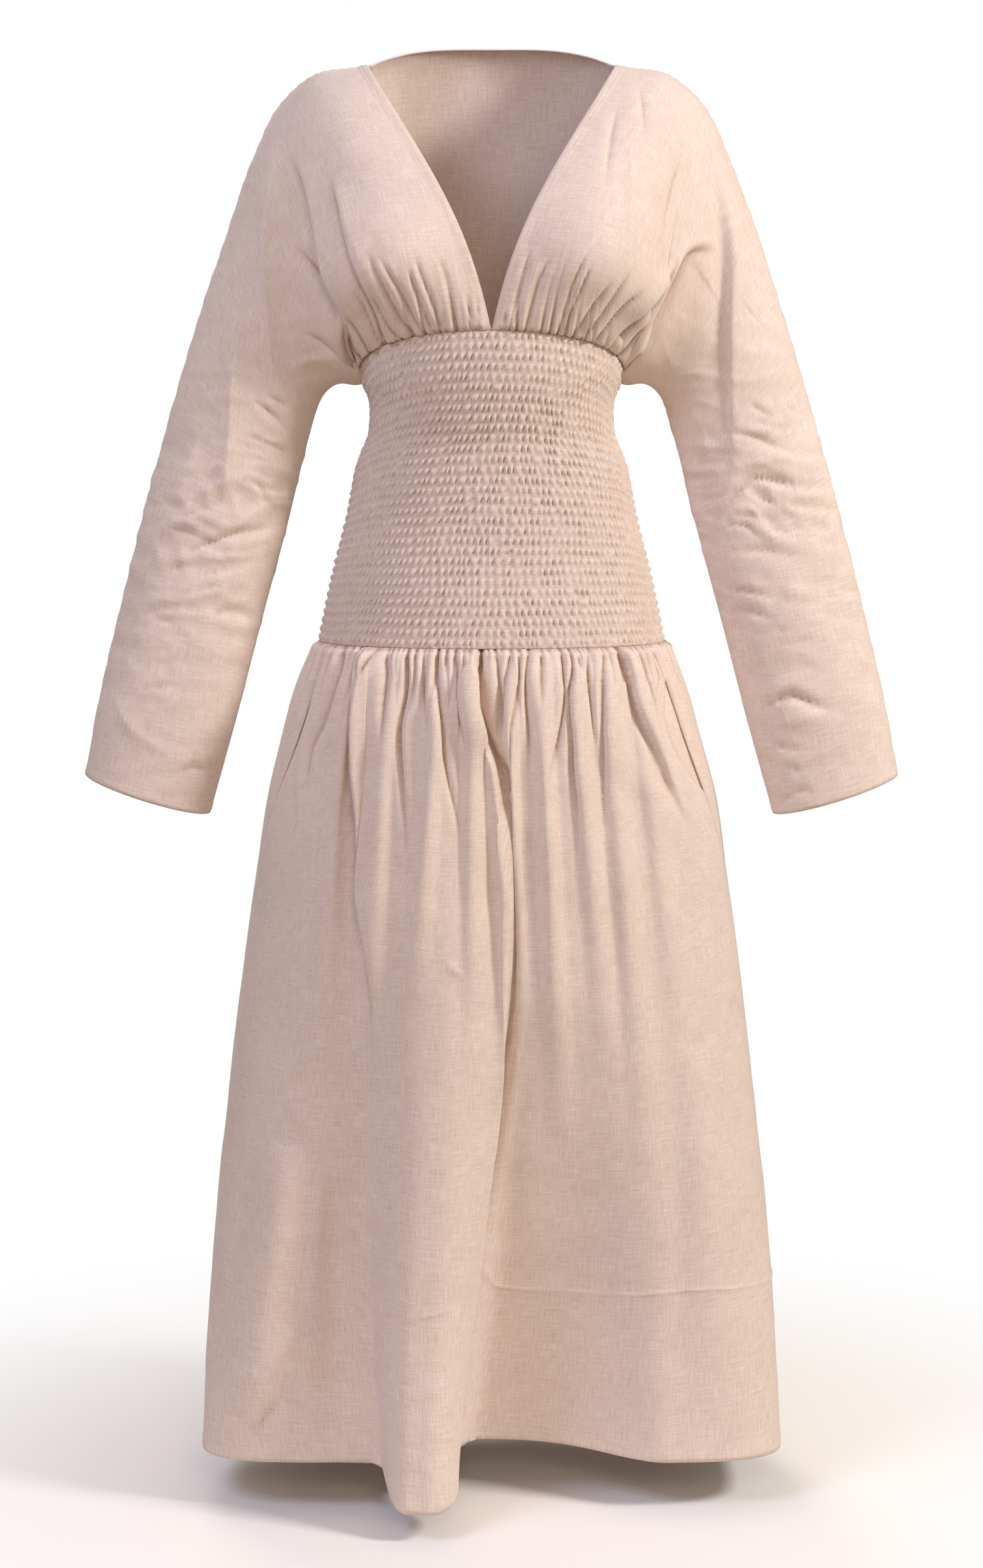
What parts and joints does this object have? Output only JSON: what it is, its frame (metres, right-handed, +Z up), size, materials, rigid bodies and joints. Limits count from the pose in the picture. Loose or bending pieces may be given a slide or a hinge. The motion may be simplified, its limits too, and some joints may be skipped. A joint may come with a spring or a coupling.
{
  "type": "maxi dress",
  "caption": "Long-sleeved maxi dress in its worn, hollow form: deep V neck, bodice gathered over a shirred waist panel, full gathered skirt with side pockets.",
  "frame": {"origin": "midway between the two points where the neckline meets the shoulder seams, on the wearer's shoulder line", "axes": "+Z up along the wearer, -Y is the way the wearer faces, +X is the wearer's left"},
  "size_m": [0.806, 0.3701, 1.4145],
  "materials": {
    "cloth": "matte cream cotton-linen plain weave",
    "shirred_cloth": "matte cream cotton-linen, shirred with elastic thread"
  },
  "bodies": {
    "root": {"bodice_front_l": "cloth", "bodice_front_r": "cloth", "bodice_back": "cloth", "waist_panel_front": "shirred_cloth", "waist_panel_back": "shirred_cloth", "skirt_front": "cloth", "skirt_back": "cloth", "pocket_l": "cloth", "pocket_r": "cloth"}
  },
  "joints": []
}
